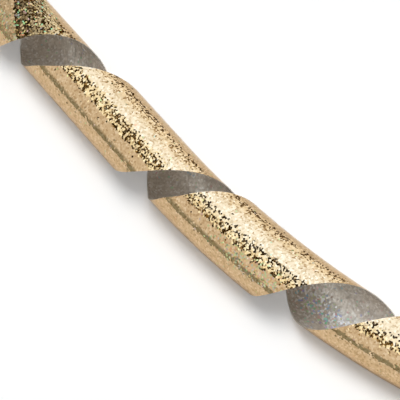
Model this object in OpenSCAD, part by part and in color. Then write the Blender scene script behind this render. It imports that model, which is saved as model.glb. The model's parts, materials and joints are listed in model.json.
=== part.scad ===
// Ribbon wand for rhythmic gymnastics, lying on the floor with its ribbon in loose curls.
// Millimetres, +Z up, floor at z = 0, origin under the middle of the whole layout.

/* [Ribbon] */
// Width of the ribbon
ribbon_width = 50; // [40:1:56]
// Length of the ribbon from its sewn end to the middle of its tail
ribbon_length = 1500; // [1100:50:1900]
// Thickness of the gold film on the outside of the curls
film_thickness = 0.12; // [0.08:0.02:0.3]
// Thickness of the grey backing on the inside of the curls
backing_thickness = 0.18; // [0.1:0.02:0.4]

/* [Curls] */
// Radius of a curl, at the seam between film and backing
curl_radius = 15.2; // [14:0.1:17.5]
// Distance along the floor from one curl to the next
curl_pitch = 94; // [90:0.5:112]
// How much the pitch wanders, as a share of itself
pitch_wander = 0.14; // [0:0.01:0.16]
// Turns of even pitch before it begins to wander
even_turns = 0.57; // [0.5:0.01:1]
// Turns from one wide place of the pitch to the next
wander_turns = 1.67; // [1.4:0.01:2.5]
// Sideways lean of the ribbon's straight lines against the line of the curls, as a slope
lie_lean = -0.031; // [-0.04:0.001:0.04]
// Radius of the curve that carries the ribbon's head out of its first curl
opening_radius = 22; // [18:1:32]
// Radius of the counter-curve that levels the head
levelling_radius = 28; // [20:1:40]

/* [Layout on the floor] */
// Direction of the straight run of curls, in degrees from +X
run_heading = -52; // [-70:0.5:-30]
// Length of the straight run, from the top of the first curl
run_length = 208; // [150:2:260]
// Radius of the gentle bend after the straight run
gentle_bend = 450; // [350:10:600]
// Length of the gentle bend
gentle_length = 130; // [90:5:200]
// Radius of the tighter bend that the tail lies in
tail_bend = 270; // [230:5:320]
// Angle between the wand and a straight pull on the ribbon
fold_angle = 90; // [60:5:95]

/* [Sewn end] */
// Distance from the eyelet to the end of the ribbon inside the tabs
tab_seam = 24; // [20:1:32]
// Length of ribbon that the tabs cover
tab_overlap = 18; // [12:1:26]
// Width of tab beyond each edge of the ribbon
tab_margin = 1.5; // [0.5:0.5:4]
// Radius of the tab's round nose
tab_nose = 5.8; // [5:0.1:7]
// Thickness of one tab
tab_thickness = 0.9; // [0.6:0.1:1.2]
// Thickness of the eyelet's flange and of its washer
eyelet_flange = 0.5; // [0.3:0.1:0.7]
// Wall of the eyelet's barrel
eyelet_wall = 0.4; // [0.3:0.1:0.6]
// Width of the eyelet's flange
eyelet_rim = 1.9; // [1.2:0.1:2.2]
// Stitches in one row
stitch_count = 10; // [6:1:14]
// Length of one stitch
stitch_length = 3; // [2:0.25:3.5]
// Radius of the sewing thread
thread_radius = 0.3; // [0.2:0.05:0.4]

/* [Spring clip] */
// Length of the clip, between the middles of its wire at both ends
clip_length = 30; // [28:1:40]
// Radius of the clip's round ends, at the middle of the wire
clip_bend = 6; // [6:0.25:8]
// Radius of the clip's wire
clip_wire = 1.25; // [1.2:0.05:1.4]
// Radius of the gate's hinge pin
gate_pin_radius = 0.5; // [0.4:0.05:0.6]
// Length of the lip that the gate closes under
lip_length = 1.6; // [1:0.1:2.5]
// Turns of the spring inside the gate
spring_turns = 5; // [3:1:6]
// Radius of the spring's wire
spring_wire = 0.12; // [0.1:0.01:0.14]

/* [Swivel] */
// Thickness of the swivel's eye
eye_thickness = 2.4; // [1.8:0.1:3]
// Width of metal round the eye's hole
eye_rim = 1.7; // [1.3:0.1:2]
// Radius of the swivel's neck
neck_radius = 1.6; // [1.3:0.1:2]
// Radius of the head that holds the swivel in the ferrule
head_radius = 2.9; // [2.6:0.1:3.2]
// Thickness of that head
head_thickness = 1.5; // [1:0.1:2.5]
// Thickness of the low-friction washer
washer_thickness = 0.8; // [0.5:0.1:1.2]
// Thickness of the cap's flange
cap_flange = 2; // [1.5:0.1:3]
// Length of the cap's spigot inside the ferrule
cap_spigot = 2.5; // [2:0.1:4]

/* [Stick] */
// Length of the stick from the swivel cap to the butt
stick_length = 310; // [260:5:360]
// Radius of the rod
rod_radius = 4.5; // [4:0.1:5]
// Wall of the ferrule
ferrule_wall = 0.9; // [0.7:0.1:1.4]
// Depth of the ferrule's socket for the rod
ferrule_socket = 22; // [16:1:30]
// Thickness of the ferrule's inner wall
ferrule_web = 2; // [1.5:0.1:3]
// Radius of the rivet across the ferrule
rivet_radius = 1; // [0.8:0.1:1.4]
// Radius of the grip over its ribs
grip_radius = 7.6; // [7.5:0.1:9]
// Length of the grip
grip_length = 120; // [90:5:140]
// Ribs along the grip
grip_ribs = 15; // [8:1:18]
// Depth of the grooves between the ribs
groove_depth = 0.6; // [0.3:0.1:1]
// Width of one groove
groove_width = 2.4; // [1.5:0.1:3]
// Length of the collar in front of the grip
collar_length = 6; // [4:0.5:10]
// Wall of the collar
collar_wall = 1.6; // [1:0.1:2]
// Width of the butt cap beyond the grip
butt_flare = 0.6; // [0.3:0.1:1.5]
// Length of the butt cap
butt_length = 18; // [14:1:24]
// Thickness of the butt cap's end
butt_wall = 5; // [4:0.5:7]
// Rounding of the butt cap's end
butt_round = 3.5; // [2:0.25:3.75]

/* [Fits] */
// Play between the clip's wire and the eyes that it links
eye_play = 0.7; // [0.6:0.05:0.9]
// Play between the clip's gate and its body
gate_play = 0.3; // [0.2:0.05:0.4]
// Running fit of the swivel's neck and of the gate's pin
running_fit = 0.08; // [0.04:0.01:0.1]
// Glue gap of pieces that are fixed to the rod
glue_gap = 0.05; // [0.02:0.01:0.1]
// End play of the swivel
end_play = 0.1; // [0.05:0.05:0.2]
// Height that the clip is kept off the floor
floor_gap = 0.25; // [0.1:0.05:0.5]

/* [Hidden] */
$fn = 64;
degrees = 180 / PI;

// How far a cut runs on past the surface that it opens
overshoot = 1;

// Height of the wand's axis: the butt cap rests on the floor and the clip clears it
butt_radius = grip_radius + butt_flare;
axis_height = max(butt_radius, clip_bend + clip_wire + floor_gap);

// The ribbon is wound flat: straight lines on it run along the curl's axis
turn_length = 2 * PI * curl_radius;
lay_slope = curl_pitch / turn_length;
lay_angle = atan(lay_slope);
curl_centre = film_thickness + curl_radius;
curl_top = curl_centre + curl_radius;

// Head: an arc off the top of the first curl, a counter-arc, and a level end
head_radii = opening_radius + levelling_radius;
dip_angle = asin((axis_height - curl_top + head_radii) / head_radii);
opening_arc = opening_radius * (90 - dip_angle) / degrees;
levelling_arc = levelling_radius * (90 - dip_angle) / degrees;
level_start = -opening_arc - levelling_arc;
level_shift = -head_radii * cos(dip_angle);

// Sewn end: tab sizes and places along the ribbon, with zero at the top of the first curl
tab_length = tab_seam + tab_overlap;
tab_half_width = ribbon_width / 2 + tab_margin;
tab_shoulder = tab_seam - tab_margin;
head_margin = 2;
eyelet_place = (level_start - head_margin - tab_half_width * sin(lay_angle)) / cos(lay_angle) - tab_length;
head_place = eyelet_place + tab_seam;
tail_place = head_place + ribbon_length;
head_corner = head_place * cos(lay_angle) - ribbon_width / 2 * sin(lay_angle);
head_other_corner = head_place * cos(lay_angle) + ribbon_width / 2 * sin(lay_angle);
corner_trim = 0.4;

// Rows of the ribbon's surface: distances round the section from head to tail
rows_per_curl = 24;
rows_per_arc = 5;
curl_step = turn_length / rows_per_curl;
curl_rows = ceil(tail_place * cos(lay_angle) / curl_step);
row_places = concat(
    [head_corner + corner_trim, head_other_corner],
    [for (i = [0 : rows_per_arc - 1]) level_start + levelling_arc * i / rows_per_arc],
    [for (i = [0 : rows_per_arc - 1]) -opening_arc * (1 - i / rows_per_arc)],
    [for (i = [0 : curl_rows]) tail_place * cos(lay_angle) * i / curl_rows]
);
last_row = len(row_places) - 1;

// Section of the ribbon: sideways offset, height and direction of the outside, in degrees
function section(u) =
    u >= 0 ? let (a = 90 + u / curl_radius * degrees)
        [-curl_radius * cos(a), curl_centre + curl_radius * sin(a), a] :
    u >= -opening_arc ? let (a = 90 + u / opening_radius * degrees)
        [-opening_radius * cos(a), curl_top - opening_radius * (1 - sin(a)), a] :
    u >= level_start ? let (a = dip_angle - (u + opening_arc) / levelling_radius * degrees)
        [level_shift + levelling_radius * cos(a), axis_height + levelling_radius * (1 - sin(a)), a] :
    [level_shift + u - level_start, axis_height, 90];

// Line that the curls follow over the floor: x, y and heading at a distance along it
function bend(from, radius, length) = let (end = from[2] + length / radius * degrees) [
    from[0] + radius * (sin(end) - sin(from[2])),
    from[1] - radius * (cos(end) - cos(from[2])),
    end
];
function straight(length) = [length * cos(run_heading), length * sin(run_heading), run_heading];
gentle_start = straight(run_length);
tail_start = bend(gentle_start, gentle_bend, gentle_length);
function floor_line(z) =
    z <= run_length ? straight(z) :
    z <= run_length + gentle_length ? bend(gentle_start, gentle_bend, z - run_length) :
    bend(tail_start, tail_bend, z - run_length - gentle_length);

// The pitch wanders: how far the ribbon's middle has come along the floor line at distance u
wander_start = even_turns * turn_length;
wander_length = wander_turns * turn_length;
wander_reach = pitch_wander * wander_length / (2 * PI);
function wander(u) = max(0, u - wander_start) / wander_length * 360;
function lay_place(u) = lay_slope * (u - wander_reach * (1 - cos(wander(u))));
function lay_half(u) = ribbon_width / 2 * norm([1, lay_slope * (1 - pitch_wander * sin(wander(u)))]);

// The straight lines come into their lean over the first turn
function lean(u) = lie_lean * min(1, max(0, u / turn_length));

// A point at distance u round the section and z along the floor line, lifted off the surface
function ribbon_point(u, z, lift) = let (
    place = floor_line(z),
    cut = section(u),
    aside = cut[0] - lift * cos(cut[2]) + lean(u) * (z - lay_place(u))
) [place[0] - aside * sin(place[2]), place[1] + aside * cos(place[2]), cut[1] + lift * sin(cut[2])];

// Both edges of the ribbon at distance u: the head is cut square, the tail along the curl's axis
function head_cut(u) = (head_place - u * cos(lay_angle)) / sin(lay_angle);
function near_edge(u) = max(lay_place(u) - lay_half(u), head_cut(u));
function far_edge(u) = lay_place(u) + lay_half(u);
function ribbon_points(lift) = [
    for (u = row_places, z = [near_edge(u), far_edge(u)]) ribbon_point(u, z, lift)
];

// The wand: places along its axis, with zero at the eyelet and clip_length at the swivel's eye
eye_hole = clip_wire + eye_play;
eye_radius = eye_hole + eye_rim;
cap_start = clip_length + eye_radius + end_play + gate_play;
ferrule_start = cap_start + cap_flange;
washer_start = ferrule_start + cap_spigot + end_play;
head_start = washer_start + washer_thickness + end_play;
web_start = head_start + head_thickness + end_play + gate_play;
rod_start = web_start + ferrule_web;
ferrule_end = rod_start + ferrule_socket;
ferrule_radius = rod_radius + ferrule_wall;
spigot_radius = head_radius + ferrule_wall;
rivet_place = rod_start + ferrule_socket / 2;
butt_end = cap_start + stick_length;
butt_start = butt_end - butt_length;
rod_end = butt_end - butt_wall;
grip_start = butt_start - glue_gap - grip_length;
collar_start = grip_start - glue_gap - collar_length;

// Clip: the gate runs along its upper side, from the nose to the hinge pin
tang_half = 0.55;
tang_radius = clip_wire * 0.8;
gate_pin_place = clip_length - clip_bend - clip_wire - gate_play;
gate_tip = clip_bend + gate_play;
slot_depth = clip_wire + gate_play;
spring_bore = clip_wire * 0.62;
spring_radius = spring_bore - 2 * spring_wire;
spring_pitch = 0.7;
spring_length = spring_turns * spring_pitch;
knuckle_half = clip_wire * 0.92;
lap_gap = gate_play / 2;

// Eyelet
barrel_radius = eye_hole + eyelet_wall;
flange_radius = eye_hole + eyelet_rim;
curl_over = 0.4;

// Places of the sewn end and of the wand over the floor
end_heading = run_heading + 90 - lay_angle;
wand_heading = end_heading + 180 + fold_angle;
eyelet_point = ribbon_point(eyelet_place * cos(lay_angle), eyelet_place * sin(lay_angle), 0);

// Box round everything, and the shift that puts the origin under its middle
butt_point = eyelet_point + (butt_end - butt_round) * [cos(wand_heading), sin(wand_heading), 0];
butt_flat = (butt_radius - butt_round) * [abs(sin(wand_heading)), abs(cos(wand_heading)), 0];
butt_side = butt_flat + butt_round * [1, 1, 0];
outer_points = concat(ribbon_points(film_thickness), [butt_point + butt_side, butt_point - butt_side]);
box_low = [for (k = [0 : 1]) min([for (p = outer_points) p[k]])];
box_high = [for (k = [0 : 1]) max([for (p = outer_points) p[k]])];
middle = [(box_low[0] + box_high[0]) / 2, (box_low[1] + box_high[1]) / 2, 0];

// Least gap between one curl and the next, measured on the points of both edges
edge_points = ribbon_points(0);
curl_gap = min([
    for (i = [0 : last_row], j = [i + rows_per_curl / 2 : 1 : last_row])
        norm(edge_points[2 * i + 1] - edge_points[2 * j])
]);
union() {
    echo(curl_gap = curl_gap, curls = curl_rows / rows_per_curl, axis_height = axis_height);
    echo(eyelet_point = eyelet_point - middle, wand_heading = wand_heading, end_heading = end_heading);
    echo(clip_length = clip_length, gate_pin_place = gate_pin_place, clip_bend = clip_bend);
    echo(ferrule_end = ferrule_end, collar_start = collar_start, butt_end = butt_end, middle = middle);
}

module on_floor() {
    translate(-middle) children();
}

module on_wand() {
    on_floor() translate(eyelet_point) rotate([0, 0, wand_heading]) children();
}

module on_end() {
    on_floor() translate(eyelet_point) rotate([0, 0, end_heading]) children();
}

// A cylinder along the wand between two places
module along(from, to, radius) {
    translate([from, 0, 0]) rotate([0, 90, 0]) cylinder(r = radius, h = to - from);
}

// A cylinder across the clip at a place on its upper side
module across(radius, half) {
    translate([gate_pin_place, half, clip_bend]) rotate([90, 0, 0]) cylinder(r = radius, h = 2 * half);
}

// One layer of the ribbon, between two distances from the seam of film and backing
module ribbon_layer(inside, outside) {
    rows = last_row + 1;
    inner = function (i, e) 2 * i + e;
    outer = function (i, e) 2 * rows + 2 * i + e;
    strip = [for (i = [0 : last_row - 1]) each [
        [outer(i, 0), outer(i + 1, 0), outer(i + 1, 1)],
        [outer(i, 0), outer(i + 1, 1), outer(i, 1)],
        [inner(i, 0), inner(i + 1, 1), inner(i + 1, 0)],
        [inner(i, 0), inner(i, 1), inner(i + 1, 1)],
        [inner(i, 0), inner(i + 1, 0), outer(i + 1, 0)],
        [inner(i, 0), outer(i + 1, 0), outer(i, 0)],
        [inner(i, 1), outer(i + 1, 1), inner(i + 1, 1)],
        [inner(i, 1), outer(i, 1), outer(i + 1, 1)]
    ]];
    head = [[inner(0, 0), outer(0, 0), outer(0, 1)], [inner(0, 0), outer(0, 1), inner(0, 1)]];
    tail = [
        [inner(last_row, 0), outer(last_row, 1), outer(last_row, 0)],
        [inner(last_row, 0), inner(last_row, 1), outer(last_row, 1)]
    ];
    polyhedron(
        points = concat(ribbon_points(inside), ribbon_points(outside)),
        faces = concat(strip, head, tail)
    );
}

module ribbon_film() {
    color("goldenrod") on_floor() ribbon_layer(0, film_thickness);
}

module ribbon_backing() {
    color("dimgray") on_floor() ribbon_layer(-backing_thickness, 0);
}

// Outline of a tab: a round nose that widens to the ribbon's shoulders
module tab_outline() {
    reach = norm([tab_shoulder, tab_half_width]);
    touch = atan2(tab_half_width, tab_shoulder) + acos(tab_nose / reach);
    nose_steps = 16;
    nose = [for (i = [0 : nose_steps])
        let (a = touch + (360 - 2 * touch) * i / nose_steps) tab_nose * [cos(a), sin(a)]
    ];
    polygon(concat(nose, [
        [tab_shoulder, -tab_half_width], [tab_length, -tab_half_width],
        [tab_length, tab_half_width], [tab_shoulder, tab_half_width]
    ]));
}

// One tab, recessed by the layer of ribbon that it covers
module tab(recess) {
    half = tab_half_width + overshoot;
    difference() {
        linear_extrude(tab_thickness) difference() {
            tab_outline();
            circle(r = barrel_radius + glue_gap);
        }
        translate([tab_seam - glue_gap, -half, -overshoot])
            cube([tab_overlap + overshoot, 2 * half, recess + glue_gap + overshoot]);
    }
}

module end_tab_top() {
    color("saddlebrown") on_end() tab(film_thickness);
}

module end_tab_bottom() {
    color("saddlebrown") on_end() mirror([0, 0, 1]) tab(backing_thickness);
}

// Stitches lie on both tabs, in one row along the seam and one along the rear edge
module stitch_row(place) {
    pitch = ribbon_width / stitch_count;
    thread_sides = 24;
    for (i = [0 : stitch_count - 1], side = [0, 1]) {
        mirror([0, 0, side]) translate([place, (i - (stitch_count - 1) / 2) * pitch, tab_thickness])
            intersection() {
                rotate([90, 0, 0])
                    cylinder(r = thread_radius, h = stitch_length, center = true, $fn = thread_sides);
                translate([-thread_radius, -stitch_length, 0])
                    cube([2 * thread_radius, 2 * stitch_length, 2 * thread_radius]);
            }
    }
}

module end_stitching() {
    inset = 3;
    color("khaki") on_end() {
        stitch_row(tab_seam + inset);
        stitch_row(tab_length - inset);
    }
}

module eyelet() {
    top = tab_thickness;
    bottom = -tab_thickness - eyelet_flange;
    color("gold") on_end() rotate_extrude() {
        translate([eye_hole, bottom]) square([eyelet_wall, top - bottom]);
        translate([eye_hole, top]) square([eyelet_rim, eyelet_flange]);
        translate([eye_hole, bottom - curl_over]) square([eyelet_wall + curl_over, curl_over]);
    }
}

module eyelet_washer() {
    color("gold") on_end() translate([0, 0, -tab_thickness - eyelet_flange]) difference() {
        cylinder(r = flange_radius, h = eyelet_flange);
        translate([0, 0, -overshoot])
            cylinder(r = barrel_radius + glue_gap, h = eyelet_flange + 2 * overshoot);
    }
}

// Half ring of the clip's wire about a place on its middle line
module clip_end(place, start) {
    translate([place, 0, 0]) rotate([90, 0, 0]) rotate([0, 0, start])
        rotate_extrude(angle = 180) translate([clip_bend, 0]) circle(r = clip_wire);
}

module clip_body() {
    color("silver") on_wand() difference() {
        union() {
            clip_end(clip_bend, 90);
            clip_end(clip_length - clip_bend, -90);
            translate([0, 0, -clip_bend]) along(clip_bend, clip_length - clip_bend, clip_wire);
            intersection() {
                translate([0, 0, clip_bend]) along(clip_bend, clip_bend + lip_length, clip_wire);
                translate([clip_bend, -clip_wire, clip_bend + lap_gap / 2])
                    cube([lip_length, 2 * clip_wire, clip_wire]);
            }
            across(tang_radius, tang_half);
            translate([gate_pin_place, -tang_half, clip_bend - tang_radius])
                cube([clip_length - clip_bend - gate_pin_place, 2 * tang_half, 2 * tang_radius]);
        }
        across(gate_pin_radius + running_fit, clip_wire + overshoot);
    }
}

module clip_gate() {
    slot_half = tang_half + lap_gap;
    color("gainsboro") on_wand() difference() {
        union() {
            translate([0, 0, clip_bend]) along(gate_tip, gate_pin_place, clip_wire);
            across(clip_wire, knuckle_half);
        }
        translate([gate_pin_place - slot_depth, -slot_half, 0])
            cube([2 * slot_depth, 2 * slot_half, 2 * clip_bend]);
        translate([0, -clip_wire - overshoot, clip_bend - lap_gap / 2])
            cube([clip_bend + lip_length + gate_play, 2 * (clip_wire + overshoot), 2 * clip_wire]);
        translate([0, 0, clip_bend])
            along(gate_pin_place - slot_depth - spring_length, gate_pin_place, spring_bore);
        across(gate_pin_radius, clip_wire + overshoot);
    }
}

module gate_pin() {
    color("gray") on_wand() across(gate_pin_radius, knuckle_half);
}

// Spring in the gate's bore: a tube swept along a helix
module gate_spring() {
    sides = 6;
    rings_per_turn = 8;
    rings = rings_per_turn * spring_turns;
    coil_length = spring_length - 2 * spring_wire - lap_gap;
    spring_end = gate_pin_place - tang_radius - lap_gap - spring_wire;
    rise = atan(coil_length / spring_turns / (2 * PI * spring_radius));
    points = [for (i = [0 : rings], k = [0 : sides - 1]) let (
        turn = 360 * i / rings_per_turn,
        away = spring_radius + spring_wire * cos(360 * k / sides),
        lift = spring_wire * sin(360 * k / sides)
    ) [
        spring_end - coil_length * i / rings - lift * cos(rise),
        away * cos(turn) + lift * sin(rise) * sin(turn),
        clip_bend + away * sin(turn) - lift * sin(rise) * cos(turn)
    ]];
    ring = function (i, k) i * sides + (k + sides) % sides;
    walls = [for (i = [0 : rings - 1], k = [0 : sides - 1]) each [
        [ring(i, k), ring(i + 1, k + 1), ring(i + 1, k)],
        [ring(i, k), ring(i, k + 1), ring(i + 1, k + 1)]
    ]];
    first = [for (k = [1 : sides - 2]) [0, k + 1, k]];
    last = [for (k = [1 : sides - 2]) [ring(rings, 0), ring(rings, k), ring(rings, k + 1)]];
    color("lightgray") on_wand() polyhedron(points = points, faces = concat(walls, first, last));
}

module swivel_spindle() {
    color("silver") on_wand() difference() {
        union() {
            translate([clip_length, 0, -eye_thickness / 2]) cylinder(r = eye_radius, h = eye_thickness);
            along(clip_length + eye_hole, head_start, neck_radius);
            along(head_start, head_start + head_thickness, head_radius);
        }
        translate([clip_length, 0, -eye_radius]) cylinder(r = eye_hole, h = 2 * eye_radius);
    }
}

module swivel_washer() {
    color("white") on_wand() difference() {
        along(washer_start, washer_start + washer_thickness, head_radius);
        along(washer_start - overshoot, head_start + overshoot, neck_radius + running_fit);
    }
}

module swivel_cap() {
    color("gold") on_wand() difference() {
        union() {
            along(cap_start, ferrule_start, ferrule_radius);
            along(ferrule_start, ferrule_start + cap_spigot, spigot_radius);
        }
        along(cap_start - overshoot, washer_start + overshoot, neck_radius + running_fit);
    }
}

module ferrule() {
    color("gold") on_wand() difference() {
        along(ferrule_start, ferrule_end, ferrule_radius);
        along(ferrule_start - overshoot, web_start, spigot_radius + glue_gap);
        along(rod_start, ferrule_end + overshoot, rod_radius + glue_gap);
        rivet(glue_gap);
    }
}

// The rivet across the ferrule, with room round it
module rivet(room) {
    half = ferrule_radius + room;
    translate([rivet_place, half, 0]) rotate([90, 0, 0]) cylinder(r = rivet_radius + room, h = 2 * half);
}

module ferrule_rivet() {
    color("gold") on_wand() rivet(0);
}

module rod() {
    color("ivory") on_wand() difference() {
        along(rod_start + glue_gap, rod_end - glue_gap, rod_radius);
        rivet(glue_gap);
    }
}

module grip_collar() {
    color("gold") on_wand() difference() {
        along(collar_start, collar_start + collar_length, rod_radius + collar_wall);
        along(collar_start - overshoot, grip_start + overshoot, rod_radius + glue_gap);
    }
}

module grip_sleeve() {
    rib_pitch = grip_length / grip_ribs;
    color("dimgray") on_wand() difference() {
        along(grip_start, grip_start + grip_length, grip_radius);
        along(grip_start - overshoot, grip_start + grip_length + overshoot, rod_radius + glue_gap);
        for (i = [1 : grip_ribs - 1]) {
            translate([grip_start + i * rib_pitch - groove_width / 2, 0, 0]) rotate([0, 90, 0])
                rotate_extrude() translate([grip_radius - groove_depth, 0])
                    square([groove_depth + overshoot, groove_width]);
        }
    }
}

module butt_cap() {
    edge = [butt_radius - butt_round, butt_length - butt_round];
    color("dimgray") on_wand() translate([butt_start, 0, 0]) rotate([0, 90, 0])
        rotate_extrude() difference() {
            union() {
                square([butt_radius, edge[1]]);
                square([edge[0], butt_length]);
                translate(edge) circle(r = butt_round);
            }
            square([rod_radius + glue_gap, butt_length - butt_wall]);
        }
}

ribbon_film();
ribbon_backing();
end_tab_top();
end_tab_bottom();
end_stitching();
eyelet();
eyelet_washer();
clip_body();
clip_gate();
gate_pin();
gate_spring();
swivel_spindle();
swivel_washer();
swivel_cap();
ferrule();
ferrule_rivet();
rod();
grip_collar();
grip_sleeve();
butt_cap();
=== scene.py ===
"""Ribbon wand for rhythmic gymnastics, dressed over its CAD model, on a pale studio floor."""
import json
import math

import bpy
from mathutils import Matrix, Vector


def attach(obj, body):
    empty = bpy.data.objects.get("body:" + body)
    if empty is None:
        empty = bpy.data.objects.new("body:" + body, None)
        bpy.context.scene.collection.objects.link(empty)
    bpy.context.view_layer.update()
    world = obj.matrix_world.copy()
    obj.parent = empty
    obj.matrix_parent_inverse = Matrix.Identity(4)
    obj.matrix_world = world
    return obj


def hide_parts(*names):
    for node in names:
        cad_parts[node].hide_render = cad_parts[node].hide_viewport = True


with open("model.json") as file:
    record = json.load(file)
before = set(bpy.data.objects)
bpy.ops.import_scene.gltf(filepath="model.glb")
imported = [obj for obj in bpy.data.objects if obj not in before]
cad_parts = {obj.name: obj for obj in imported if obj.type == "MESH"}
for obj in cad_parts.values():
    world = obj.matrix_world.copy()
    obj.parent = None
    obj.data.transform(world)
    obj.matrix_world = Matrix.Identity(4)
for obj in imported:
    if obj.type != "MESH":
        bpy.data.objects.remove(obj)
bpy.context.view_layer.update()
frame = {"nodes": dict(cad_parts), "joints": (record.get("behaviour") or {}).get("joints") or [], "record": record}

MM = 0.001
nodes = frame["nodes"]
joints = {joint["name"]: joint for joint in frame["joints"]}


# Shader sums and nodes
class Wire:
    """A socket in a node tree, on which sums are written as Python expressions."""

    def __init__(self, tree, socket):
        self.tree = tree
        self.socket = socket

    def _sum(self, operation, *terms):
        step = self.tree.nodes.new("ShaderNodeMath")
        step.operation = operation
        for place, term in zip(step.inputs, terms):
            if isinstance(term, Wire):
                self.tree.links.new(term.socket, place)
            else:
                place.default_value = term
        return Wire(self.tree, step.outputs[0])

    def __add__(self, other):
        return self._sum("ADD", self, other)

    def __radd__(self, other):
        return self._sum("ADD", other, self)

    def __sub__(self, other):
        return self._sum("SUBTRACT", self, other)

    def __rsub__(self, other):
        return self._sum("SUBTRACT", other, self)

    def __mul__(self, other):
        return self._sum("MULTIPLY", self, other)

    def __rmul__(self, other):
        return self._sum("MULTIPLY", other, self)

    def __truediv__(self, other):
        return self._sum("DIVIDE", self, other)

    def __gt__(self, other):
        return self._sum("GREATER_THAN", self, other)

    def __lt__(self, other):
        return self._sum("LESS_THAN", self, other)

    def at_least(self, other):
        return self._sum("MAXIMUM", self, other)

    def without_sign(self):
        return self._sum("ABSOLUTE", self)

    def wrapped(self, low, high):
        """The value brought back between two bounds by whole rounds."""
        return self._sum("WRAP", self, high, low)

    def sine(self):
        return self._sum("SINE", self)

    def cosine(self):
        return self._sum("COSINE", self)


class NodeTree:
    """The nodes of a finish or of the backdrop."""

    def __init__(self, tree):
        self.tree = tree
        tree.nodes.clear()

    def node(self, kind, settings=None, **sockets):
        """A node of that kind: its settings first, then a value or a wire for each named socket."""
        made = self.tree.nodes.new("ShaderNode" + kind)
        for name, value in (settings or {}).items():
            setattr(made, name, value)
        for name, value in sockets.items():
            place = find_socket(made, name)
            if isinstance(value, Wire):
                self.tree.links.new(value.socket, place)
            else:
                place.default_value = value
        return made

    def wire(self, made, output=0):
        return Wire(self.tree, made.outputs[output])

    def get(self, kind, settings=None, output=0, **sockets):
        return self.wire(self.node(kind, settings, **sockets), output)


class Finish(NodeTree):
    """A procedural material for one kind of surface."""

    def __init__(self, name):
        self.material = bpy.data.materials.new(name)
        self.material.use_nodes = True
        super().__init__(self.material.node_tree)

    def place(self):
        return self.get("TexCoord", None, "Object")

    def part(self, vector, axis):
        return self.get("SeparateXYZ", None, axis, Vector=vector)

    def vector(self, operation, first, second=(0, 0, 0), output=0):
        return self.get("VectorMath", {"operation": operation}, output, A_0=first, A_1=second)

    def scaled(self, vector, amount):
        return self.get("VectorMath", {"operation": "SCALE"}, A_0=vector, Scale=amount)

    def spread(self, value, low, high, at_low=0.0, at_high=1.0):
        """From one number to another as a value goes from low to high, and level beyond them."""
        return self.get("MapRange", Value=value, From_Min=low, From_Max=high, To_Min=at_low, To_Max=at_high)

    def mix(self, amount, first, second):
        """A colour between two, each a wire or three numbers."""
        def ready(colour):
            return colour if isinstance(colour, Wire) else (*colour, 1)
        return self.get("Mix", {"data_type": "RGBA"}, 2, A_0=amount, A_6=ready(first), A_7=ready(second))

    def ramp(self, amount, stops):
        """A colour that goes with an amount, by stops of a place and a colour each."""
        made = self.node("ValToRGB", Fac=amount)
        elements = made.color_ramp.elements
        while len(elements) < len(stops):
            elements.new(0.5)
        for element, (place, colour) in zip(elements, stops):
            element.position = place
            element.color = (*colour, 1)
        return self.wire(made)

    def noise(self, place, size, detail, **more):
        """Cloudy noise with clouds of about that size."""
        return self.get("TexNoise", Vector=place, Scale=1 / size, Detail=detail, **more)

    def pebbles(self, place, size):
        """The distance to the middle of the nearest pebble of that size."""
        return self.get("TexVoronoi", {"feature": "SMOOTH_F1"}, "Distance", Vector=place, Scale=1 / size)

    def bumped(self, height, depth, strength=1.0):
        return self.get("Bump", Height=height, Distance=depth, Strength=strength)

    def close(self, kind, **sockets):
        """The material, with one shader of that kind as its surface."""
        self.node("OutputMaterial", Surface=self.get(kind, **sockets))
        return self.material


def find_socket(made, name):
    """The input that a keyword names: Base_Color is Base Color, A_6 is the input at place 6."""
    if name.startswith("A_"):
        return made.inputs[int(name[2:])]
    return made.inputs[name.replace("_", " ")]


# Ribbon: the same values as the part's source, in metres
ribbon_width = 50 * MM
ribbon_length = 1500 * MM
film_thickness = 0.12 * MM
backing_thickness = 0.18 * MM
curl_radius = 15.2 * MM
curl_pitch = 94 * MM
pitch_wander = 0.14
even_turns = 0.57
wander_turns = 1.67
lie_lean = -0.031
opening_radius = 22 * MM
levelling_radius = 28 * MM
run_heading = math.radians(-52)
run_length = 208 * MM
gentle_bend = 450 * MM
gentle_length = 130 * MM
tail_bend = 270 * MM
tab_seam = 24 * MM
tab_overlap = 18 * MM
tab_margin = 1.5 * MM
head_margin = 2 * MM
corner_trim = 0.4 * MM

eyelet_row = Vector(joints["clip_swing"]["pos_m"])
axis_height = eyelet_row.z
turn_length = 2 * math.pi * curl_radius
lay_slope = curl_pitch / turn_length
lay_angle = math.atan(lay_slope)
wander_start = even_turns * turn_length
wander_length = wander_turns * turn_length
wander_reach = pitch_wander * wander_length / (2 * math.pi)
curl_centre = film_thickness + curl_radius
curl_top = curl_centre + curl_radius
head_radii = opening_radius + levelling_radius
dip_angle = math.asin((axis_height - curl_top + head_radii) / head_radii)
opening_arc = opening_radius * (math.pi / 2 - dip_angle)
levelling_arc = levelling_radius * (math.pi / 2 - dip_angle)
level_start = -opening_arc - levelling_arc
level_shift = -head_radii * math.cos(dip_angle)
tab_length = tab_seam + tab_overlap
tab_half_width = ribbon_width / 2 + tab_margin
eyelet_place = ((level_start - head_margin - tab_half_width * math.sin(lay_angle)) / math.cos(lay_angle)
                - tab_length)
head_place = eyelet_place + tab_seam
tail_place = head_place + ribbon_length


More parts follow.
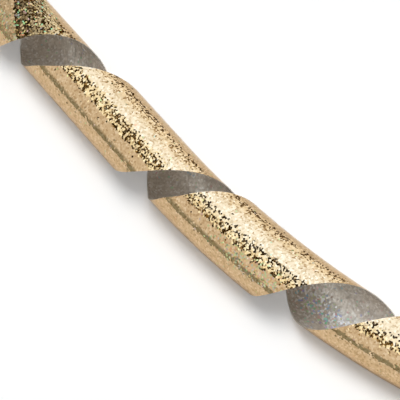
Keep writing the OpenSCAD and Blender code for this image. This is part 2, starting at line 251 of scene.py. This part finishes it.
def section(u):
    """Sideways offset, height and direction of the outside at a distance round the curl."""
    if u >= 0:
        turn = math.pi / 2 + u / curl_radius
        return -curl_radius * math.cos(turn), curl_centre + curl_radius * math.sin(turn), turn
    if u >= -opening_arc:
        turn = math.pi / 2 + u / opening_radius
        return -opening_radius * math.cos(turn), curl_top - opening_radius * (1 - math.sin(turn)), turn
    if u >= level_start:
        turn = dip_angle - (u + opening_arc) / levelling_radius
        return (level_shift + levelling_radius * math.cos(turn),
                axis_height + levelling_radius * (1 - math.sin(turn)), turn)
    return level_shift + u - level_start, axis_height, math.pi / 2


def curl_rate(u):
    """How fast the section's direction turns at a distance round the curl."""
    if u >= 0:
        return 1 / curl_radius
    if u >= -opening_arc:
        return 1 / opening_radius
    return -1 / levelling_radius if u >= level_start else 0


def bend(start, radius, length):
    """Place and heading at the end of an arc over the floor."""
    end = start[2] + length / radius
    return (start[0] + radius * (math.sin(end) - math.sin(start[2])),
            start[1] - radius * (math.cos(end) - math.cos(start[2])), end)


def straight(length):
    return length * math.cos(run_heading), length * math.sin(run_heading), run_heading


gentle_start = straight(run_length)
tail_start = bend(gentle_start, gentle_bend, gentle_length)


def floor_line(z):
    """Place and heading of the line that the curls follow over the floor."""
    if z <= run_length:
        return straight(z)
    if z <= run_length + gentle_length:
        return bend(gentle_start, gentle_bend, z - run_length)
    return bend(tail_start, tail_bend, z - run_length - gentle_length)


def wander(u):
    return max(0, u - wander_start) / wander_length * 2 * math.pi


def lay_place(u):
    """How far the ribbon's middle has come along the floor line."""
    return lay_slope * (u - wander_reach * (1 - math.cos(wander(u))))


def lay_half(u):
    """Half of the ribbon's width, measured along the floor line."""
    return ribbon_width / 2 * math.hypot(1, lay_slope * (1 - pitch_wander * math.sin(wander(u))))


def lean(u):
    return lie_lean * min(1, max(0, u / turn_length))


def layout_point(u, z, lift):
    """A point of the ribbon, lifted off its outside, before the layout is moved to the eyelet."""
    x, y, heading = floor_line(z)
    aside, height, turn = section(u)
    aside += lean(u) * (z - lay_place(u)) - lift * math.cos(turn)
    return Vector((x - aside * math.sin(heading), y + aside * math.cos(heading),
                   height + lift * math.sin(turn)))


eyelet_layout = layout_point(eyelet_place * math.cos(lay_angle), eyelet_place * math.sin(lay_angle), 0)
layout_shift = eyelet_row - eyelet_layout


# Camera
look_point = Vector((144.92, -170.26, 0)) * MM + layout_shift
look_point.z = 0
camera_rise = math.radians(53.313)
camera_turn = math.radians(0.395)
camera_away = 1049.8 * MM
focal_pixels = 2298.8
photo_pixels = 400
sensor = 36
nearest_seen = 10 * MM

away = Vector((-math.sin(camera_turn), math.cos(camera_turn), 0))
view_back = Vector((0, 0, math.sin(camera_rise))) - away * math.cos(camera_rise)
camera_data = bpy.data.cameras.new("camera")
camera_data.sensor_width = sensor
camera_data.lens = focal_pixels / photo_pixels * sensor
camera_data.clip_start = nearest_seen
camera = bpy.data.objects.new("camera", camera_data)
camera.location = look_point + view_back * camera_away
camera.rotation_mode = "QUATERNION"
camera.rotation_quaternion = (-view_back).to_track_quat("-Z", "Y")
bpy.context.scene.collection.objects.link(camera)
bpy.context.scene.camera = camera
bpy.context.scene.view_settings.view_transform = "Standard"


# In the second and third turn the near edge runs a little wide where it comes up off the floor
low_slack, side_slack = 4.2 * MM, 1.7 * MM
slack_turns = (1, 2)
slack_start, slack_full = 200, 240
low_slack_end, side_slack_end = (268, 318), (378, 415)


def rise(angle, start, end):
    """Smoothly from nothing to one between two angles, in degrees."""
    share = min(1, max(0, (angle - start) / (end - start)))
    return share * share * (3 - 2 * share)


def edge_slack(u):
    """How far the near edge runs wide at a distance round the curl."""
    angle = math.degrees(section(u)[2])
    turn_number = math.floor((angle - slack_start) / 360)
    if turn_number not in slack_turns:
        return 0
    angle -= 360 * turn_number
    begun = rise(angle, slack_start, slack_full)
    return (low_slack * (begun - rise(angle, *low_slack_end))
            + side_slack * (begun - rise(angle, *side_slack_end)))


def ribbon_edges(u):
    """Where both edges of the ribbon are along the curl's axis, with the head cut square."""
    head_cut = (head_place - u * math.cos(lay_angle)) / math.sin(lay_angle)
    near = lay_place(u) - lay_half(u) - edge_slack(u)
    return max(near, head_cut), lay_place(u) + lay_half(u)


def round_way(u, z):
    """The direction of going round the curl."""
    turn, heading = section(u)[2], floor_line(z)[2]
    return Vector((-math.sin(heading) * math.sin(turn), math.cos(heading) * math.sin(turn), math.cos(turn)))


# Ribbon layers: closed strips of short rows, with a hair's gap between film and backing
row_step = 1.6 * MM
columns = 14
pattern_size = 1.6
layer_gap = 0.01 * MM
sharpest_smooth = math.radians(40)


def strip_faces(rows):
    """Faces of a closed strip, whose points are its outside row by row, and then its inside."""
    wide = columns + 1
    under = wide * (rows + 1)
    faces = []
    for i in range(rows):
        for k in range(columns):
            a, b = i * wide + k, (i + 1) * wide + k
            faces.append((a, b, b + 1, a + 1))
            faces.append((under + a, under + a + 1, under + b + 1, under + b))
        a, b = i * wide, (i + 1) * wide
        faces.append((a, under + a, under + b, b))
        faces.append((a + columns, b + columns, under + b + columns, under + a + columns))
    for k in range(columns):
        end = rows * wide + k
        faces.append((k, k + 1, under + k + 1, under + k))
        faces.append((end, under + end, under + end + 1, end + 1))
    return faces


def ribbon_layer(name, inside, outside):
    """One layer of the ribbon. One UV map is its flat pattern, and the other says how far round the curl
    and which share of the way across each point is."""
    first = head_place * math.cos(lay_angle) - ribbon_width / 2 * math.sin(lay_angle) + corner_trim
    last = tail_place * math.cos(lay_angle)
    rows = round((last - first) / row_step)
    points, flat, places, ways = [], [], [], []
    for lift in (outside, inside):
        for i in range(rows + 1):
            u = first + (last - first) * i / rows
            near, far = ribbon_edges(u)
            for k in range(columns + 1):
                z = near + (far - near) * k / columns
                points.append(layout_point(u, z, lift) + layout_shift)
                ways.append(round_way(u, z) * curl_rate(u))
                places.append((u / pattern_size, k / columns))
                along = u * math.cos(lay_angle) + z * math.sin(lay_angle) - head_place
                across = z * math.cos(lay_angle) - u * math.sin(lay_angle) + ribbon_width / 2
                flat.append((along / pattern_size, across / pattern_size))
    mesh = bpy.data.meshes.new(name)
    mesh.from_pydata(points, [], strip_faces(rows))
    for map_name, spots in (("flat_pattern", flat), ("ribbon_place", places)):
        uv_map = mesh.uv_layers.new(name=map_name)
        for loop in mesh.loops:
            uv_map.data[loop.index].uv = spots[loop.vertex_index]
    bent = mesh.attributes.new("bend_way", "FLOAT_VECTOR", "POINT")
    for i, way in enumerate(ways):
        bent.data[i].vector = way
    layer = bpy.data.objects.new(name, mesh)
    bpy.context.scene.collection.objects.link(layer)
    bpy.ops.object.select_all(action="DESELECT")
    layer.select_set(True)
    bpy.context.view_layer.objects.active = layer
    bpy.ops.object.shade_smooth_by_angle(angle=sharpest_smooth)
    return layer


gold_layer = ribbon_layer("glitter_film", layer_gap, film_thickness)
grey_layer = ribbon_layer("grey_backing", -backing_thickness, 0)


# Flakes of the film and the backing, each with its own tilt and tint
film_flake = 0.8 * MM
backing_flake = 0.9 * MM


def flake_cells(finish, size):
    """For each flake of that size: a random colour, how far ahead its middle is, and where that is
    round the curl and along the floor line."""
    flat = finish.get("UVMap", {"uv_map": "flat_pattern"})
    cells = finish.node("TexVoronoi", {"voronoi_dimensions": "2D"}, Vector=flat, Scale=pattern_size / size)
    middle = finish.wire(cells, "Position")
    lengthwise, crosswise = finish.part(middle, "X"), finish.part(middle, "Y")
    ahead = ((lengthwise - finish.part(flat, "X")) * math.cos(lay_angle)
             - (crosswise - finish.part(flat, "Y")) * math.sin(lay_angle)) * pattern_size
    lengthwise = lengthwise * pattern_size + head_place
    crosswise = crosswise * pattern_size - ribbon_width / 2
    round_place = lengthwise * math.cos(lay_angle) - crosswise * math.sin(lay_angle)
    along = lengthwise * math.sin(lay_angle) + crosswise * math.cos(lay_angle)
    return finish.wire(cells, "Color"), ahead, round_place, along


def flake_chances(finish, grain):
    """Four random numbers for each flake."""
    pick = finish.node("TexWhiteNoise", {"noise_dimensions": "3D"}, Vector=grain)
    hues = finish.node("SeparateColor", Color=finish.wire(pick, "Color"))
    return finish.wire(pick, "Value"), *(finish.wire(hues, hue) for hue in ("Red", "Green", "Blue"))


def bend_way(finish):
    """The direction round the curl as the mesh carries it, turned with the ribbon."""
    stored = finish.get("Attribute", {"attribute_name": "bend_way"}, "Vector")
    return finish.get("VectorTransform", {"vector_type": "VECTOR", "convert_from": "OBJECT",
                                          "convert_to": "WORLD"}, Vector=stored)


def flake_normal(finish, grain, ahead, tilt, lean_back=None):
    """The upright of each flat flake, with a tilt of its own, leant back round the curl."""
    own_tilt = finish.vector("SUBTRACT", grain, (0.5, 0.5, 0.5))
    upright = finish.get("NewGeometry", None, "Normal")
    way = bend_way(finish)
    parts = [finish.scaled(own_tilt, tilt), finish.scaled(way, ahead)]
    if lean_back is not None:
        upright = finish.scaled(upright, lean_back.cosine())
        parts.append(finish.scaled(way, lean_back.sine() * -curl_radius))
    for part in parts:
        upright = finish.vector("ADD", upright, part)
    return finish.vector("NORMALIZE", upright)


def ribbon_place(finish, axis):
    return finish.part(finish.get("UVMap", {"uv_map": "ribbon_place"}), axis)


def edge_share(finish, reach):
    """One within that distance of the ribbon's edges, and nothing elsewhere."""
    return (ribbon_place(finish, "Y") - 0.5).without_sign() > 0.5 - reach / ribbon_width


def tint_drift(finish, turn, across, reach_round, reach_across, every):
    """How thick the tinted flakes lie: a drift round one place, and again every so many turns.
    The angles are in degrees, and the places across are shares of the ribbon's width."""
    middle = (math.radians(turn) - math.pi / 2) * curl_radius
    half_gap = every * turn_length / 2
    off_round = (ribbon_place(finish, "X") * pattern_size - middle).wrapped(-half_gap, half_gap)
    off_round = off_round / (math.radians(reach_round) * curl_radius)
    off_across = (ribbon_place(finish, "Y") - across) / reach_across
    return (1 - off_round * off_round - off_across * off_across).at_least(0.0)


# On a wedge of the second turn the film is pressed flatter: there the flakes keep facing low to the left, and
# painted shade darkens them
press_place = 95.5 * MM
press_start, press_start_slope = math.radians(360 + 81.2), -math.radians(2.55) / MM
press_end, press_end_slope = math.radians(360 + 141.6), -math.radians(0.87) / MM
press_face = math.radians(60)
press_turn = 0.13
press_fade = 0.8
calm_start, calm_end = math.radians(360 + 33), math.radians(360 + 86)


def pressed_wedge(round_place, along):
    """Which flakes are pressed, how hard, most along the wedge's left, and how far they lean back; how hard also
    sets the painted shade of the flakes. On the flat to the left of the wedge they all face the same way."""
    turn = round_place / curl_radius + math.pi / 2
    start = (along - press_place) * press_start_slope + press_start
    end = (along - press_place) * press_end_slope + press_end
    inside = (turn > start) * (turn < end)
    depth = inside * (1 - press_fade * (turn - start) / (end - start))
    calm = (turn > calm_start) * (turn < start) * (turn < calm_end)
    lean_back = inside * (turn - 2 * math.pi - press_face - press_turn * (turn - start))
    return inside, depth, lean_back + calm * (turn - calm_start)


# Low on the left of each curl the film lies smoother
smooth_below, rough_above = math.radians(34), math.radians(44)


def low_side(finish, round_place):
    """One low on the left of each curl, and nothing from there on up and on the ribbon's flat head."""
    turn = (round_place / curl_radius + math.pi / 2).wrapped(-math.pi / 2, 1.5 * math.pi)
    return (round_place > 0) * (1 - finish.spread(turn, smooth_below, rough_above))


# Glitter film: gold flakes, some of them tinted and some loose, with painted shade between the tints in the wedge
gold_tints = (
    (0.0, (0.45, 0.29, 0.14)), (0.3, (0.59, 0.41, 0.225)), (0.75, (0.64, 0.455, 0.26)),
    (1.0, (0.74, 0.555, 0.35)))
film_spectrum = (
    (0.0, (0.72, 0.30, 0.18)), (0.35, (0.66, 0.50, 0.20)), (0.6, (0.30, 0.58, 0.24)),
    (0.8, (0.28, 0.52, 0.36)), (0.9, (0.46, 0.42, 0.46)), (1.0, (0.66, 0.38, 0.36)))
film_drift = dict(turn=3 * 360 + 38, across=0.72, reach_round=24, reach_across=0.42, every=2)
# The colour of the painted shade that darkens the flakes of the pressed wedge
wedge_painted_shade_colour = (0.045, 0.020, 0.004)
film_sheen = (0.9, 0.83, 0.74, 1)
stray_tints, wedge_tints, drift_tints = 0.012, 0.2, 0.5
tint_strength, pressed_tint_strength = 0.5, 0.45
# How much painted shade the wedge gets: some all over it, and more where it is pressed deeper, except on the
# spared flakes
painted_shade_whole_wedge, painted_shade_least, painted_shade_most = 0.06, 0.34, 0.60
spared_share = 0.27
loose_share, drift_loose_share = 0.14, 0.25
film_tilt, smooth_tilt, pressed_tilt, loose_tilt = 0.045, 0.027, 0.02, 0.3
smooth_rounding = 0.75


def glitter_finish():
    finish = Finish("gold_glitter")
    grain, ahead, round_place, along = flake_cells(finish, film_flake)
    pressed, depth, lean_back = pressed_wedge(round_place, along)
    drift = tint_drift(finish, **film_drift)
    chance, looseness, gold_pick, tint_pick = flake_chances(finish, grain)
    gold = finish.ramp(gold_pick, gold_tints)
    spectrum = finish.ramp(tint_pick, film_spectrum)
    tinted = chance < stray_tints + wedge_tints * depth + drift_tints * drift
    colour = finish.mix(tinted * (tint_strength + pressed_tint_strength * pressed), gold, spectrum)
    # Painted shade: the flakes of the wedge are darkened, most along its left
    shade = pressed * painted_shade_whole_wedge + depth * (painted_shade_least + painted_shade_most * (chance > spared_share))
    colour = finish.mix(shade, colour, wedge_painted_shade_colour)
    loose = looseness < loose_share + drift_loose_share * drift
    smooth = low_side(finish, round_place)
    tilt = film_tilt - smooth_tilt * smooth - pressed_tilt * pressed + loose_tilt * loose
    upright = flake_normal(finish, grain, ahead * (1 - smooth_rounding * smooth), tilt, lean_back)
    return finish.close("BsdfPrincipled", Base_Color=colour, Metallic=1.0, Roughness=0.025,
                        Specular_Tint=film_sheen, Normal=upright)


# Backing: grey metallised flakes, some of them pale and some tinted, with a pale cut edge, and a drift of more
# tinted flakes and of more and paler flakes that paint a highlight spot
grey_tints = ((0.0, (0.58, 0.51, 0.43)), (0.6, (0.68, 0.61, 0.53)), (1.0, (0.78, 0.71, 0.63)))
backing_spectrum = (
    (0.0, (0.80, 0.35, 0.40)), (0.3, (0.70, 0.70, 0.35)), (0.55, (0.25, 0.80, 0.40)),
    (0.8, (0.30, 0.60, 0.80)), (1.0, (0.60, 0.40, 0.80)))
# The drift where tinted flakes lie thicker and pale flakes paint a highlight spot
backing_tint_and_highlight_drift = dict(turn=3 * 360 + 258, across=0.27, reach_round=34, reach_across=0.3, every=3)
pale_grey, edge_grey = (0.95, 0.92, 0.87), (0.75, 0.71, 0.65)
cut_edge_width = 0.5 * MM
dull_share = 0.08
pale_from, painted_highlight_pale_share = 0.88, 0.14
pale_strength, painted_highlight_pale_strength = 0.6, 0.4
tinted_share, drift_tinted_share = 0.03, 0.3
grey_tint_strength, drift_tint_strength = 0.5, 0.3
backing_metal = 0.65
backing_tilt, dull_tilt = 0.16, 0.14


def backing_finish():
    finish = Finish("grey_metallised_backing")
    grain, ahead = flake_cells(finish, backing_flake)[:2]
    chance, _, grey_pick, tint_pick = flake_chances(finish, grain)
    dull = chance < dull_share
    drift = tint_drift(finish, **backing_tint_and_highlight_drift)
    # Pale flakes: some at random, and more and paler ones in the drift, where they are a painted highlight
    pale = chance > pale_from - painted_highlight_pale_share * drift
    colour = finish.mix(pale * (pale_strength + painted_highlight_pale_strength * drift),
                        finish.ramp(grey_pick, grey_tints), pale_grey)
    tinted = chance < tinted_share + drift_tinted_share * drift
    colour = finish.mix(tinted * (grey_tint_strength + drift_tint_strength * drift), colour,
                        finish.ramp(tint_pick, backing_spectrum))
    colour = finish.mix(edge_share(finish, cut_edge_width), colour, edge_grey)
    return finish.close("BsdfPrincipled", Base_Color=colour, Metallic=backing_metal - backing_metal * dull,
                        Roughness=0.36,
                        Normal=flake_normal(finish, grain, ahead, backing_tilt + dull_tilt * dull))


gold_layer.data.materials.append(glitter_finish())
grey_layer.data.materials.append(backing_finish())
for layer, node in ((gold_layer, "ribbon_film"), (grey_layer, "ribbon_backing")):
    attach(layer, "ribbon")
    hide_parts(node)


# Finishes of the pieces that are carried over from the CAD model
stick_axis = Vector(joints["stick_spin"]["axis"])


def along_stick(finish):
    """The place on the model, and how far along the stick's axis it is."""
    place = finish.place()
    return place, finish.vector("DOT_PRODUCT", place, stick_axis, "Value")


def leather_finish():
    """Brown leather with a pebbled grain, fine creases and dark cut edges."""
    finish = Finish("brown_leather")
    place = finish.place()
    pebbles = finish.pebbles(place, 0.9 * MM)
    creases = finish.noise(place, 2.5 * MM, detail=6.0)
    clouds = finish.noise(place, 14 * MM, detail=3.0)
    facing = finish.part(finish.get("NewGeometry", None, "True Normal"), "Z")
    cut_edge = facing.without_sign() < 0.5
    colour = finish.mix(clouds, (0.085, 0.034, 0.012), (0.21, 0.098, 0.04))
    colour = finish.mix(pebbles * 0.55, colour, (0.045, 0.018, 0.007))
    colour = finish.mix(cut_edge * 0.75, colour, (0.035, 0.014, 0.006))
    return finish.close("BsdfPrincipled", Base_Color=colour, Roughness=0.46 + 0.3 * creases,
                        Normal=finish.bumped(creases * 0.6 - pebbles, 0.25 * MM, 0.6))


def thread_finish():
    """Ochre sewing thread, twisted and a little fluffy."""
    finish = Finish("twisted_thread")
    place = finish.place()
    twist = finish.get("TexWave", {"bands_direction": "DIAGONAL"}, "Fac", Vector=place,
                       Scale=1 / (2.2 * MM), Distortion=1.5, Detail=2.0)
    fluff = finish.noise(place, 0.25 * MM, detail=4.0)
    colour = finish.mix(twist, (0.36, 0.235, 0.07), (0.74, 0.57, 0.25))
    return finish.close("BsdfPrincipled", Base_Color=colour, Roughness=0.55 + 0.35 * fluff,
                        Sheen_Weight=0.3, Normal=finish.bumped(twist + fluff * 0.4, 0.12 * MM))


def turned_metal(name, clean, worn, smooth, ring_width, ring_depth):
    """Metal with fine turning rings along the stick's axis, and cloudy wear."""
    finish = Finish(name)
    place, axial = along_stick(finish)
    rings = finish.get("TexNoise", {"noise_dimensions": "1D"}, W=axial / ring_width, Detail=3.0)
    clouds = finish.noise(place, 4 * MM, detail=5.0)
    scuffs = finish.noise(place, 0.4 * MM, detail=2.0, Distortion=2.0)
    wear = finish.spread(clouds, 0.35, 0.75)
    return finish.close("BsdfPrincipled", Base_Color=finish.mix(wear, clean, worn), Metallic=1.0,
                        Roughness=smooth + 0.14 * wear + 0.1 * scuffs,
                        Normal=finish.bumped(rings + scuffs * 0.3, ring_depth))


def nylon_finish():
    """Natural nylon, a little hazy."""
    finish = Finish("natural_nylon")
    haze = finish.noise(finish.place(), 1.2 * MM, detail=3.0)
    colour = finish.mix(haze, (0.74, 0.72, 0.66), (0.86, 0.85, 0.81))
    return finish.close("BsdfPrincipled", Base_Color=colour, Roughness=0.38 + 0.15 * haze,
                        Normal=finish.bumped(haze, 0.02 * MM))


def rod_finish():
    """Ivory fibreglass: fibres along the rod under a clear skin, with handling marks."""
    finish = Finish("ivory_fibreglass")
    place, axial = along_stick(finish)
    fibre_stretch = 0.985
    drawn = finish.vector("ADD", place, finish.scaled(stick_axis, axial * -fibre_stretch))
    fibres = finish.noise(drawn, 0.45 * MM, detail=4.0, Roughness=0.6)
    marks = finish.noise(place, 9 * MM, detail=5.0)
    streak = finish.spread(fibres, 0.35, 0.7)
    smudge = finish.spread(marks, 0.55, 0.8)
    colour = finish.mix(streak, (0.62, 0.54, 0.40), (0.82, 0.77, 0.65))
    colour = finish.mix(smudge * 0.35, colour, (0.52, 0.45, 0.34))
    return finish.close("BsdfPrincipled", Base_Color=colour, Roughness=0.34 + 0.2 * smudge,
                        Coat_Weight=0.5 - 0.3 * smudge, Coat_Roughness=0.12,
                        Normal=finish.bumped(fibres, 0.03 * MM))


def rubber_finish():
    """Charcoal rubber with a fine moulded grain, and chalk dust in its hollows."""
    finish = Finish("charcoal_rubber")
    place = finish.place()
    grain = finish.pebbles(place, 0.7 * MM)
    clouds = finish.noise(place, 11 * MM, detail=6.0, Roughness=0.65)
    dust = finish.spread(clouds, 0.48, 0.78)
    colour = finish.mix(grain, (0.030, 0.028, 0.026), (0.016, 0.015, 0.014))
    colour = finish.mix(dust * (0.15 + 0.5 * grain), colour, (0.12, 0.11, 0.10))
    return finish.close("BsdfPrincipled", Base_Color=colour, Roughness=0.55 + 0.25 * dust,
                        Normal=finish.bumped(0.0 - grain, 0.16 * MM, 0.7))


finishes = {
    "tab_leather": leather_finish(),
    "thread": thread_finish(),
    "gilt": turned_metal("gilt_brass", clean=(0.72, 0.44, 0.13), worn=(0.50, 0.28, 0.075),
                         smooth=0.14, ring_width=0.09 * MM, ring_depth=0.004 * MM),
    "nickel": turned_metal("bright_nickel", clean=(0.61, 0.585, 0.545), worn=(0.47, 0.45, 0.42),
                           smooth=0.10, ring_width=0.2 * MM, ring_depth=0.002 * MM),
    "steel": turned_metal("drawn_steel", clean=(0.40, 0.40, 0.40), worn=(0.26, 0.25, 0.24),
                          smooth=0.24, ring_width=0.12 * MM, ring_depth=0.004 * MM),
    "nylon": nylon_finish(),
    "rod_ivory": rod_finish(),
    "grip_rubber": rubber_finish(),
}
slots = {part["node"]: part["material_slot"] for part in frame["record"]["subparts"]}
for name, node in nodes.items():
    if slots[name] in finishes:
        node.data.materials.clear()
        node.data.materials.append(finishes[slots[name]])


# Floor: matte and pale, with a little glow of its own for the camera
floor_size = 16
floor_grey = (0.95, 0.95, 0.95, 1)
white = (1, 1, 1, 1)
glow_strength, glow_share = 1.3, 0.15

bpy.ops.mesh.primitive_plane_add(size=floor_size, location=(0, 0, 0))
floor = bpy.context.object
floor.name = "floor"
floor_finish = Finish("pale_floor")
seen = floor_finish.get("LightPath", None, "Is Camera Ray")
floor.data.materials.append(floor_finish.close(
    "MixShader", Fac=seen * glow_share, A_1=floor_finish.get("BsdfDiffuse", Color=floor_grey),
    A_2=floor_finish.get("Emission", Color=white, Strength=glow_strength)))


# Lamps: a small and a wide round softbox straight above, sized by how high their edges stand in the sky
lamp_height = 2.4
softboxes = (("top_softbox", math.radians(72), 6.2), ("wide_softbox", math.radians(48), 0.8))
for name, edge_rise, radiance in softboxes:
    lamp_radius = lamp_height / math.tan(edge_rise)
    lamp_data = bpy.data.lights.new(name, "AREA")
    lamp_data.shape = "DISK"
    lamp_data.size = 2 * lamp_radius
    lamp_data.energy = radiance * math.pi * math.pi * lamp_radius ** 2
    lamp = bpy.data.objects.new(name, lamp_data)
    lamp.location = look_point + Vector((0, 0, lamp_height))
    lamp.visible_camera = False
    lamp.visible_glossy = False
    bpy.context.scene.collection.objects.link(lamp)


# Backdrop: white to the camera and in reflections, and a faint fill light for all else
fill_light = 0.14
world = bpy.data.worlds.new("studio")
bpy.context.scene.world = world
world.use_nodes = True
backdrop = NodeTree(world.node_tree)
rays = backdrop.node("LightPath")
seen = backdrop.wire(rays, "Is Camera Ray")
for kind in ("Is Glossy Ray", "Is Transmission Ray"):
    seen = seen.at_least(backdrop.wire(rays, kind))
backdrop.node("OutputWorld", Surface=backdrop.get(
    "Background", Color=white, Strength=fill_light + seen * (1 - fill_light)))


# Light tent: a dome that only reflections see
tent_radius = 3.0
tent_strength = 2.0
right_from = -0.29
ceiling_from = 0.6
wall_grey = (0.5, 0.5, 0.5)
window_light = (
    (0.0, (0.62, 0.63, 0.64)), (0.085, (0.68, 0.71, 0.73)), (0.17, (0.73, 0.79, 0.83)),
    (0.25, (0.74, 0.82, 0.90)), (0.33, (0.75, 0.88, 1.06)), (0.38, (0.78, 0.93, 1.17)),
    (0.43, (0.81, 1.00, 1.32)), (0.5, (0.81, 1.00, 1.32)))
window_reach = 0.5
fine_panes, coarse_panes, coarse_from = 72.0, 38.0, 0.8
lit_from, lit_to, lit_least, lit_most = -0.8, -0.33, 0.46, 0.74
high_start, high_full = 0.81, 0.88
dim_limit, open_limit = -0.14, 0.16
high_loss = 0.15
bright_from = 0.6
warm_pane, warm_share, high_warm_loss = (0.86, 0.93, 0.76), 0.55, 0.3
dim_panes = ((0.0, (0.028, 0.017, 0.003)), (0.4, (0.13, 0.085, 0.02)), (0.7, (0.36, 0.27, 0.12)))
high_dark, high_dark_share = (0.010, 0.006, 0.001), 0.75
bars_from, bars_to, bars_most, bars_least = 0.05, 0.84, 0.52, 0.03
bar_tones = (
    (0.0, (0.03, 0.017, 0.003)), (0.3, (0.09, 0.06, 0.02)), (0.6, (0.38, 0.33, 0.26)),
    (0.8, (0.5, 0.5, 0.5)))


def show_in_reflections(thing):
    for ray in ("camera", "diffuse", "transmission", "shadow"):
        setattr(thing, "visible_" + ray, False)


def tent_cloth():
    """On the left a pale wall and a ceiling of dark and bright panes, and on the right a window with dark
    bars that thin out upwards."""
    finish = Finish("tent_cloth")
    outward = finish.vector("NORMALIZE", finish.place())
    rightward, upward = finish.part(outward, "X"), finish.part(outward, "Z")

    def pane_chance(scale):
        """A random number for each pane of the tent's mosaic."""
        panes = finish.get("TexVoronoi", None, "Color", Vector=outward, Scale=scale)
        return finish.get("SeparateColor", None, "Red", Color=panes)

    window = finish.ramp(upward * window_reach, window_light)
    fine, coarse = pane_chance(fine_panes), pane_chance(coarse_panes)
    chance = fine + (upward > coarse_from) * (coarse - fine)
    high = finish.spread(upward, high_start, high_full)
    lit_share = finish.spread(rightward, lit_from, lit_to, lit_least, lit_most)
    pane_open = finish.spread(lit_share - high_loss * high - chance, dim_limit, open_limit)
    bright_pane = finish.mix(warm_share - high_warm_loss * high, window, warm_pane)
    dim_pane = finish.mix(high * high_dark_share, finish.ramp(pane_open, dim_panes), high_dark)
    ceiling = finish.mix(pane_open > bright_from, dim_pane, bright_pane)
    left_side = finish.mix(upward > ceiling_from, wall_grey, ceiling)
    bar_share = finish.spread(upward, bars_from, bars_to, bars_most, bars_least)
    right_side = finish.mix(chance < bar_share, window, finish.ramp(upward, bar_tones))
    return finish.close("Emission", Color=finish.mix(rightward > right_from, left_side, right_side),
                        Strength=tent_strength)


bpy.ops.object.select_all(action="DESELECT")
bpy.ops.mesh.primitive_uv_sphere_add(segments=72, ring_count=48, radius=tent_radius, location=look_point)
tent = bpy.context.object
tent.name = "light_tent"
bpy.ops.object.mode_set(mode="EDIT")
bpy.ops.mesh.select_all(action="SELECT")
bpy.ops.mesh.bisect(plane_co=look_point, plane_no=(0, 0, 1), clear_inner=True)
bpy.ops.object.mode_set(mode="OBJECT")
tent.data.materials.append(tent_cloth())
show_in_reflections(tent)


# Dark card: a low strip along the left of the curls, which the ribbon reflects as a thin dark line
card_away = 96 * MM
card_height = 36 * MM
card_start, card_step, card_steps = -100 * MM, 12 * MM, 60
card_trim, trim_start, trim_length = 10 * MM, 200 * MM, 50 * MM
card_tones = (
    (0.0, (0.42, 0.45, 0.40)), (0.45, (0.38, 0.41, 0.36)), (0.6, (0.46, 0.48, 0.44)),
    (1.0, (0.98, 0.98, 0.97)))


def card_foot(z):
    """Where the card stands on the floor beside a place on the floor line."""
    x, y, heading = floor_line(z)
    foot = Vector((x + card_away * math.sin(heading), y - card_away * math.cos(heading), 0)) + layout_shift
    foot.z = 0
    return foot


card_points, card_faces = [], []
for i in range(card_steps + 1):
    z = card_start + i * card_step
    trimmed = card_trim * min(1, max(0, (z - trim_start) / trim_length))
    card_points += [card_foot(z), card_foot(z) + Vector((0, 0, card_height - trimmed))]
    if i:
        card_faces.append((2 * i - 2, 2 * i, 2 * i + 1, 2 * i - 1))
card_mesh = bpy.data.meshes.new("dark_card")
card_mesh.from_pydata(card_points, [], card_faces)
card = bpy.data.objects.new("dark_card", card_mesh)
bpy.context.scene.collection.objects.link(card)
card_finish = Finish("dark_card")
card_up = card_finish.part(card_finish.place(), "Z")
card.data.materials.append(card_finish.close(
    "Emission", Color=card_finish.ramp(card_up / card_height, card_tones), Strength=1.0))
show_in_reflections(card)
